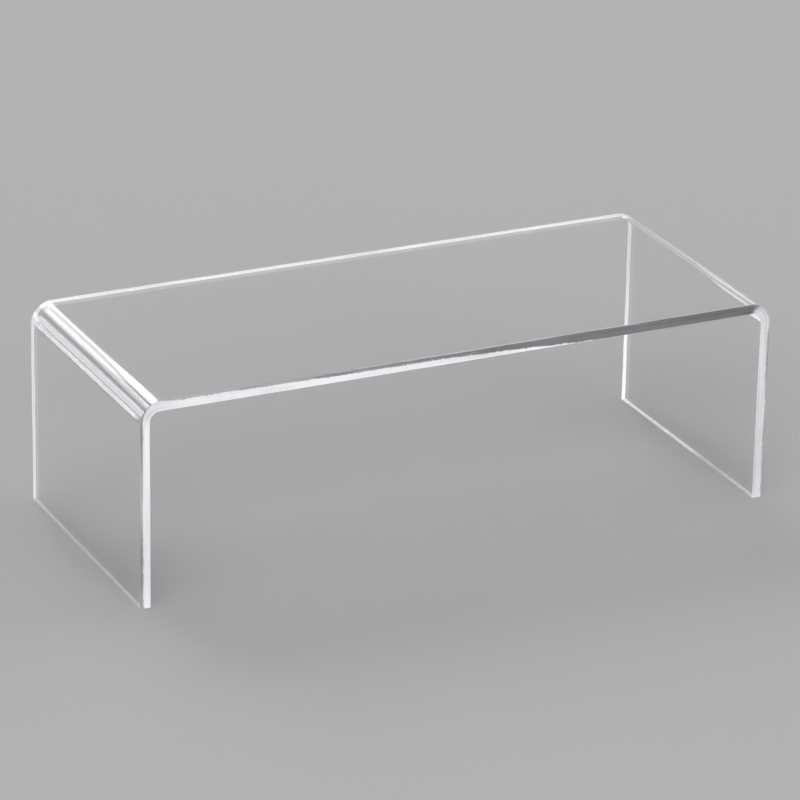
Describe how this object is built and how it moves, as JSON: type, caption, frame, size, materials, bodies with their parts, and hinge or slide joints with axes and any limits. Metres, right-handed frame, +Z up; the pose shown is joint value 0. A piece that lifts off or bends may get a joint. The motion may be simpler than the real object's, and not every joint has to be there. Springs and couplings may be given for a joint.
{
  "type": "shelf riser",
  "caption": "Clear acrylic shelf riser: a sheet heat-bent down at both ends into a low open table that lifts jars and tins above those stored under it.",
  "frame": {"origin": "on the resting plane, midway along the riser and midway across its depth", "axes": "+Z up, +X along the shelf over both legs, +Y across the depth of the shelf"},
  "size_m": [0.3048, 0.127, 0.0953],
  "materials": {
    "clear_acrylic": "clear colourless acrylic sheet with glossy faces and bright, fine-sanded and flamed cut edges"
  },
  "bodies": {
    "root": {"bent_sheet": "clear_acrylic"}
  },
  "joints": []
}
